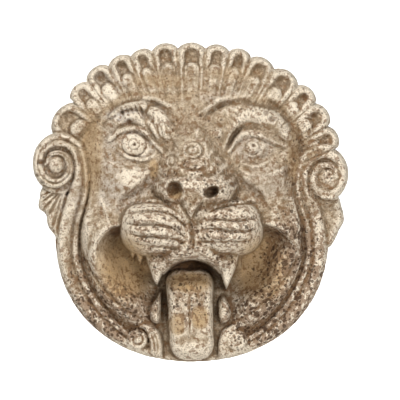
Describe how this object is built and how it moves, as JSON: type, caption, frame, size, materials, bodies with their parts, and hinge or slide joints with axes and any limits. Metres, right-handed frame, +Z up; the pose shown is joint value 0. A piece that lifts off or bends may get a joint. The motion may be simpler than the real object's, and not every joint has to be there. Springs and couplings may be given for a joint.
{
  "type": "mascaron",
  "caption": "Carved stone lion-head mascaron for a wall, with open jaws, hanging tongue, ruffed mane and side volutes.",
  "frame": {"origin": "on the flat back face, at the middle of the stone's width and height", "axes": "+X to the viewer's right, +Y into the wall, out of the flat back, +Z up; the face looks along -Y"},
  "size_m": [0.6342, 0.2297, 0.6405],
  "materials": {
    "weathered_limestone": null
  },
  "bodies": {
    "root": {"mascaron": "weathered_limestone"}
  },
  "joints": []
}
